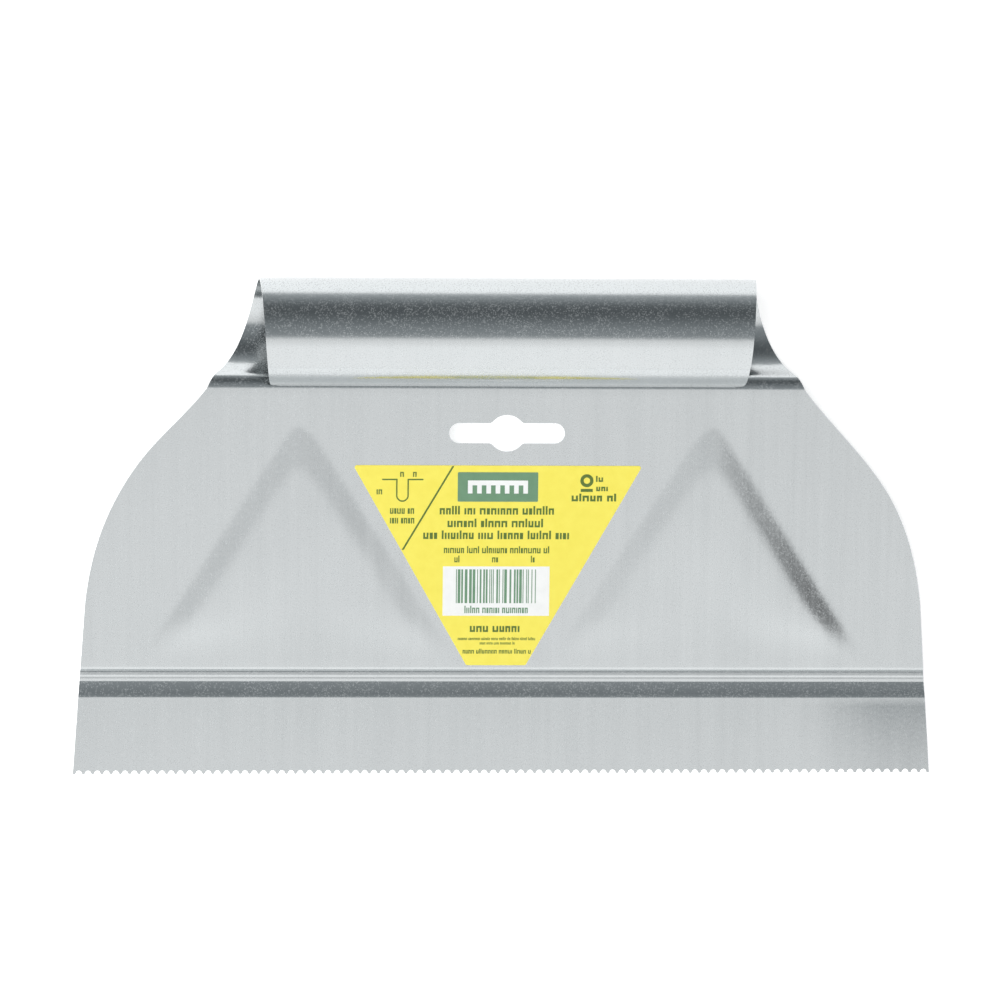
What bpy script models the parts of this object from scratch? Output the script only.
"""Notched adhesive spreader: one sheet of coated steel, cut flat, then pressed and rolled, and its label.

The sheet is drawn as a flat blank, X along the blade and Y along the sheet from the notched edge to the
free edge of the handle. The blank is cut into strips where it bends, and each point is then moved to its
place on the bent section. The finished part lies on its back: X along the blade, +Y towards the handle,
+Z up, with the origin under the middle of its box.
"""

from math import asin, atan2, ceil, cos, hypot, pi, radians, sin, sqrt, tan

import bmesh
import bpy
from mathutils import Vector
from mathutils.geometry import interpolate_bezier

MM = 0.001

# Sheet
SHEET_THICKNESS = 0.55 * MM
ARC_STEP = radians(7.5)

# Notched edge
BLADE_HALF_WIDTH = 114.3 * MM
NOTCH_COUNT = 93
NOTCH_PITCH = 2.45 * MM
NOTCH_HALF_WIDTH = 0.86 * MM
NOTCH_DEPTH = 1.0 * MM
NOTCH_FACETS = 6

# Section from the notched edge to the fold, on the middle of the sheet
BLADE_FLAT = 20.6 * MM
BEAD_LOWER_LIP = (1.6 * MM, radians(-19))
BEAD_LOWER_FLANK = (15.0 * MM, radians(15))
BEAD_TOE = (1.2 * MM, radians(4))
BEAD_FLOOR = 2.7 * MM
BEAD_UPPER_BEND = (0.6 * MM, radians(48))
BEAD_UPPER_LIP_RADIUS = 1.0 * MM
FOLD_LINE = 103.9 * MM

# Handle: a bend back at the fold, then a roll forwards that isn't quite round, and a flat last stretch
FOLD_BEND = (3.93 * MM, radians(-69))
ROLL_CURVES = (
    # length of flat before it, radius, and the heading in degrees where it ends
    (0.0, 13.7 * MM, 15),
    (0.0, 12.6 * MM, 120),
    (0.0, 14.8 * MM, 176),
    (0.0, 12.0 * MM, 222),
    (1.75 * MM, 11.0 * MM, 255),
)
LAST_FLAT = 4.2 * MM

# Outline of the blank's side, as Bezier spans. The neck and the roll are measured along the sheet from the fold.
SHOULDER = ((111.0, 46.3), (107.3, 80.1), (90.3, 89.7), (79.4, 103.9))
NECK = ((79.4, 0.0), (77.6, 6.0), (65.8, 15.5), (65.3, 41.7))
SIDE_STEPS = 14
FREE_EDGE_HALF_WIDTH = 62.3 * MM
FREE_EDGE_CORNER = 4.0 * MM

# Hanging slot: a long slot with round ends and a round bulge in its middle
SLOT_CENTRE = (0.2 * MM, 92.2 * MM)
SLOT_LENGTH = 30.6 * MM
SLOT_HEIGHT = 5.4 * MM
SLOT_BULGE_RADIUS = 4.9 * MM
SLOT_FILLET = 1.5 * MM

# Two pressed ribs, each an upside-down V
RIB_APEX = (55.0 * MM, 96.2 * MM)
RIB_FOOT_SPREAD = 38.5 * MM
RIB_FOOT_HEIGHT = 35.0 * MM
RIB_HALF_WIDTH = 5.5 * MM
RIB_DEPTH = 0.6 * MM
RIB_FOOT_FADE = 11.0 * MM
RIB_APEX_ROUND = 4.8 * MM
RIB_REACH = 48.0 * MM

# Label
LABEL_TOP_WIDTH = 76.6 * MM
LABEL_BOTTOM_WIDTH = 15.8 * MM
LABEL_TOP = 83.6 * MM
LABEL_BOTTOM = 29.8 * MM
LABEL_SHIFT = -2.1 * MM
LABEL_THICKNESS = 0.12 * MM
LABEL_GAP = 0.3 * MM
LABEL_CORNER = 0.7 * MM


def clear_scene():
    for old in list(bpy.data.objects):
        bpy.data.objects.remove(old)


def arc_points(centre, radius, start, end, steps):
    """Points on an arc from one angle to the other, both ends included."""
    angles = [start + (end - start) * i / steps for i in range(steps + 1)]
    return [(centre[0] + radius * cos(a), centre[1] + radius * sin(a)) for a in angles]


def rounded_polygon(corners, radius, steps):
    """A counter-clockwise convex polygon with each corner turned into an arc."""
    points = []
    for i, corner in enumerate(corners):
        here = Vector(corner)
        back = (Vector(corners[i - 1]) - here).normalized()
        ahead = (Vector(corners[(i + 1) % len(corners)]) - here).normalized()
        half_angle = back.angle(ahead) / 2
        centre = here + (back + ahead).normalized() * radius / sin(half_angle)
        first = here + back * radius / tan(half_angle) - centre
        sweep = pi - 2 * half_angle
        points += arc_points(centre, radius, atan2(first.y, first.x), atan2(first.y, first.x) + sweep, steps)
    return points


# Section of the bent sheet


def straight(length):
    return (length, 0.0)


def bend(radius, turn):
    return (radius * abs(turn), turn)


def section_runs():
    """The sheet's middle line as (length, turn) runs, from the notches to the free edge."""
    lower = [
        straight(BLADE_FLAT),
        bend(*BEAD_LOWER_LIP),
        bend(*BEAD_LOWER_FLANK),
        bend(*BEAD_TOE),
        straight(BEAD_FLOOR),
        bend(*BEAD_UPPER_BEND),
    ]
    out, heading = follow(lower)[-1][2:]
    lip_rise = BEAD_UPPER_LIP_RADIUS * (1 - cos(heading))
    level_again = (-out - lip_rise) / sin(heading)
    to_panel = lower + [straight(level_again), bend(BEAD_UPPER_LIP_RADIUS, -heading)]
    panel = straight(FOLD_LINE - follow(to_panel)[-1][1])
    handle = [bend(*FOLD_BEND)]
    heading = FOLD_BEND[1]
    for flat, radius, end in ROLL_CURVES:
        if flat:
            handle.append(straight(flat))
        handle.append(bend(radius, radians(end) - heading))
        heading = radians(end)
    return to_panel + [panel] + handle + [straight(LAST_FLAT)]


def advance(state, length, turn, distance):
    """The place and heading at a distance along a run that starts at state."""
    along, up, out, heading = state
    if not turn:
        return (along + distance, up + distance * cos(heading), out + distance * sin(heading), heading)
    bent = heading + turn * distance / length
    radius = length / turn
    up += radius * (sin(bent) - sin(heading))
    out -= radius * (cos(bent) - cos(heading))
    return (along + distance, up, out, bent)


def follow(runs):
    """States (distance along the sheet, height up the panel, distance out of it, heading) at each run's end."""
    states = [(0.0, 0.0, 0.0, 0.0)]
    for length, turn in runs:
        states.append(advance(states[-1], length, turn, length))
    return states


RUNS = section_runs()
STATES = follow(RUNS)
PANEL_RUN = 8
ROLL_BACK_RUN = PANEL_RUN + 2
ROLL_TOP_RUN = PANEL_RUN + 3
PANEL_START = STATES[PANEL_RUN][0]
FOLD_START = STATES[PANEL_RUN + 1][0]
PANEL_SHIFT = FOLD_START - FOLD_LINE
SHEET_LENGTH = STATES[-1][0]


def round_run(run):
    """A bent run's circle: its middle's height up the panel and distance out of it, and its outer radius."""
    length, turn = RUNS[run]
    up, out, heading = STATES[run][1:]
    radius = length / turn
    return up - radius * sin(heading), out + radius * cos(heading), radius + SHEET_THICKNESS / 2


def formed(x, along, pressed):
    """Where a point of the blank goes, pressed back from the middle of the sheet by a depth."""
    place = 0
    while place < len(RUNS) - 1 and along > STATES[place + 1][0]:
        place += 1
    length, turn = RUNS[place]
    state = advance(STATES[place], length, turn, along - STATES[place][0])
    up, out, heading = state[1:]
    return Vector((x, up + pressed * sin(heading), out - pressed * cos(heading)))


def bend_stations():
    """Distances along the sheet at which the blank is cut into strips."""
    stations = []
    for (start, *_), (length, turn) in zip(STATES, RUNS):
        pieces = max(1, ceil(abs(turn) / ARC_STEP))
        stations += [start + length * i / pieces for i in range(pieces)]
    return stations[1:]


# Flat blank


def notched_edge():
    """The notched edge from left to right: half-ellipse notches with narrow tips between them."""
    points = [(-BLADE_HALF_WIDTH, 0.0)]
    for notch in range(NOTCH_COUNT):
        centre = (notch - (NOTCH_COUNT - 1) / 2) * NOTCH_PITCH
        for facet in range(NOTCH_FACETS + 1):
            angle = pi * facet / NOTCH_FACETS
            points.append((centre - NOTCH_HALF_WIDTH * cos(angle), NOTCH_DEPTH * sin(angle)))
    points.append((BLADE_HALF_WIDTH, 0.0))
    return points


def bezier_span(span, shift):
    knots = [Vector((x * MM, y * MM + shift, 0)) for x, y in span]
    return [(p.x, p.y) for p in interpolate_bezier(*knots, SIDE_STEPS)]


def right_side():
    """The right-hand side and half of the free edge, from the blade upwards."""
    corner = (FREE_EDGE_HALF_WIDTH - FREE_EDGE_CORNER, SHEET_LENGTH - FREE_EDGE_CORNER)
    shoulder = bezier_span(SHOULDER, PANEL_SHIFT)
    neck = bezier_span(NECK, FOLD_START)
    return shoulder + neck[1:] + arc_points(corner, FREE_EDGE_CORNER, 0, pi / 2, 5)


def blank_outline():
    right = right_side()
    left = [(-x, y) for x, y in reversed(right)]
    return notched_edge() + right + left


def slot_outline():
    """The hanging slot's quarter outline, mirrored twice."""
    half_height = SLOT_HEIGHT / 2
    fillet_y = half_height + SLOT_FILLET
    fillet_x = sqrt((SLOT_BULGE_RADIUS + SLOT_FILLET) ** 2 - fillet_y**2)
    meeting = atan2(fillet_y, fillet_x)
    quarter = arc_points((SLOT_LENGTH / 2 - half_height, 0), half_height, 0, pi / 2, 5)
    quarter += arc_points((fillet_x, fillet_y), SLOT_FILLET, -pi / 2, meeting - pi, 4)
    quarter += arc_points((0, 0), SLOT_BULGE_RADIUS, meeting, pi / 2, 4)[1:]
    top = quarter + [(-x, y) for x, y in reversed(quarter[:-1])]
    ring = top + [(-x, -y) for x, y in top[1:-1]]
    return [(SLOT_CENTRE[0] + x, SLOT_CENTRE[1] + PANEL_SHIFT + y) for x, y in ring]


def outline_curve(name, outlines, thickness=0.0):
    """A filled 2D curve; an outline inside another is a hole."""
    curve = bpy.data.curves.new(name, "CURVE")
    curve.dimensions = "2D"
    curve.fill_mode = "BOTH"
    curve.extrude = thickness / 2
    for points in outlines:
        spline = curve.splines.new("POLY")
        spline.points.add(len(points) - 1)
        for point, (x, y) in zip(spline.points, points):
            point.co = (x, y, 0, 1)
        spline.use_cyclic_u = True
    return bpy.data.objects.new(name, curve)


def blank_mesh():
    """The pierced blank as one flat layer of faces."""
    drawn = outline_curve("blank", [blank_outline(), slot_outline()])
    bpy.context.scene.collection.objects.link(drawn)
    depsgraph = bpy.context.evaluated_depsgraph_get()
    mesh = bpy.data.meshes.new_from_object(drawn.evaluated_get(depsgraph))
    bpy.data.objects.remove(drawn)
    flat = bmesh.new()
    flat.from_mesh(mesh)
    bpy.data.meshes.remove(mesh)
    bmesh.ops.remove_doubles(flat, verts=flat.verts, dist=0.001 * MM)
    for face in flat.faces:
        if face.normal.z < 0:
            face.normal_flip()
    bmesh.ops.dissolve_limit(flat, angle_limit=radians(0.1), verts=flat.verts, edges=flat.edges)
    return flat


def cut(mesh, point, normal, inside=None):
    """Cuts a line across the blank's faces, or across those that a test accepts."""
    faces = [f for f in mesh.faces if inside is None or inside(f.calc_center_median())]
    geometry = set(faces)
    for face in faces:
        geometry.update(face.edges)
        geometry.update(face.verts)
    bmesh.ops.bisect_plane(
        mesh, geom=list(geometry), dist=0.0001 * MM, plane_co=(*point, 0), plane_no=(*normal, 0)
    )


# Pressed ribs


def on_panel(centre):
    return PANEL_START < centre.y < FOLD_START


def rib_lines():
    """For each leg: the side it runs to, its apex, and the unit vector across it."""
    slope = atan2(RIB_FOOT_SPREAD, RIB_APEX[1] - RIB_FOOT_HEIGHT)
    for apex in (-RIB_APEX[0], RIB_APEX[0]):
        for side in (-1, 1):
            yield side, apex, (side * cos(slope), sin(slope))


def cut_ribs(mesh):
    """Cuts the panel along each leg's edges and middle, and across the feet."""
    apex_height = RIB_APEX[1] + PANEL_SHIFT
    foot_height = RIB_FOOT_HEIGHT + PANEL_SHIFT
    for step in range(4):
        cut(mesh, (0, foot_height + RIB_FOOT_FADE * step / 3), (0, 1), on_panel)
    for apex in (-RIB_APEX[0], RIB_APEX[0]):
        for offset in (-RIB_REACH, -RIB_APEX_ROUND, 0, RIB_APEX_ROUND, RIB_REACH):
            cut(mesh, (apex + offset, 0), (1, 0), on_panel)
    for side, apex, across in rib_lines():

        def beside(centre):
            return on_panel(centre) and 0 < side * (centre.x - apex) < RIB_REACH

        for share in (-1, -0.6, -0.2, 0.2, 0.6, 1):
            offset = share * RIB_HALF_WIDTH
            point = (apex + offset * across[0], apex_height + offset * across[1])
            cut(mesh, point, across, beside)


def smooth_step(share):
    share = min(max(share, 0.0), 1.0)
    return share * share * (3 - 2 * share)


def rib_depth(x, along):
    """How far the ribs press the panel back at a point of the blank."""
    slope = atan2(RIB_FOOT_SPREAD, RIB_APEX[1] - RIB_FOOT_HEIGHT)
    beside = hypot(abs(x) - RIB_APEX[0], RIB_APEX_ROUND)
    below = RIB_APEX[1] + PANEL_SHIFT - along
    across = beside * cos(slope) - below * sin(slope)
    if abs(across) >= RIB_HALF_WIDTH or not PANEL_START < along < FOLD_START:
        return 0.0
    above_foot = along - PANEL_SHIFT - RIB_FOOT_HEIGHT
    return RIB_DEPTH * cos(pi / 2 * across / RIB_HALF_WIDTH) ** 2 * smooth_step(above_foot / RIB_FOOT_FADE)


# Parts


def coated_steel():
    return plain_material("zinc_coated_steel", (0.60, 0.61, 0.62), 0.30, 1.0)


def label_film():
    return plain_material("yellow_label_film", (0.92, 0.80, 0.10), 0.45, 0.0)


def plain_material(name, colour, roughness, metallic):
    material = bpy.data.materials.new(name)
    material.use_nodes = True
    shader = material.node_tree.nodes["Principled BSDF"]
    shader.inputs["Base Color"].default_value = (*colour, 1)
    shader.inputs["Roughness"].default_value = roughness
    shader.inputs["Metallic"].default_value = metallic
    return material


def steel_sheet():
    """Blade, panel and handle: one bent sheet, thickened about its middle."""
    sheet = blank_mesh()
    for station in bend_stations():
        cut(sheet, (0, station), (0, 1))
    cut_ribs(sheet)
    for vertex in sheet.verts:
        x, along = vertex.co.xy
        vertex.co = formed(x, along, rib_depth(x, along))
    mesh = bpy.data.meshes.new("steel_sheet")
    sheet.to_mesh(mesh)
    sheet.free()
    mesh.shade_smooth()
    mesh.set_sharp_from_angle(angle=radians(30))
    part = bpy.data.objects.new("steel_sheet", mesh)
    solid = part.modifiers.new("thickness", "SOLIDIFY")
    solid.thickness = SHEET_THICKNESS
    solid.offset = 0
    solid.use_even_offset = True
    return part


def label():
    """A four-sided film, wide at the top, lying on the panel between the ribs."""
    corners = [
        (LABEL_SHIFT - LABEL_BOTTOM_WIDTH / 2, LABEL_BOTTOM),
        (LABEL_SHIFT + LABEL_BOTTOM_WIDTH / 2, LABEL_BOTTOM),
        (LABEL_SHIFT + LABEL_TOP_WIDTH / 2, LABEL_TOP),
        (LABEL_SHIFT - LABEL_TOP_WIDTH / 2, LABEL_TOP),
    ]
    part = outline_curve("label", [rounded_polygon(corners, LABEL_CORNER, 4)], LABEL_THICKNESS)
    part.location.z = SHEET_THICKNESS / 2 + LABEL_GAP + LABEL_THICKNESS / 2
    return part


def resting_frame():
    """An empty that lays the panel's frame on its back, on the handle and the blade's rear edge."""
    back_up, back_out, back_radius = round_run(ROLL_BACK_RUN)
    top_up, top_out, top_radius = round_run(ROLL_TOP_RUN)
    rear_edge = -SHEET_THICKNESS / 2
    to_back = hypot(back_up, back_out - rear_edge)
    tilt = asin(back_radius / to_back) - atan2(back_out - rear_edge, back_up)
    nearest = rear_edge * sin(tilt)
    farthest = top_up * cos(tilt) - top_out * sin(tilt) + top_radius
    frame = bpy.data.objects.new("resting_frame", None)
    frame.rotation_euler.x = tilt
    frame.location = (0, -(nearest + farthest) / 2, -rear_edge * cos(tilt))
    return frame


def build():
    clear_scene()
    collection = bpy.data.collections.new("notched_adhesive_spreader")
    bpy.context.scene.collection.children.link(collection)
    frame = resting_frame()
    collection.objects.link(frame)
    for part, material in ((steel_sheet(), coated_steel()), (label(), label_film())):
        part.data.materials.append(material)
        part.parent = frame
        collection.objects.link(part)


build()
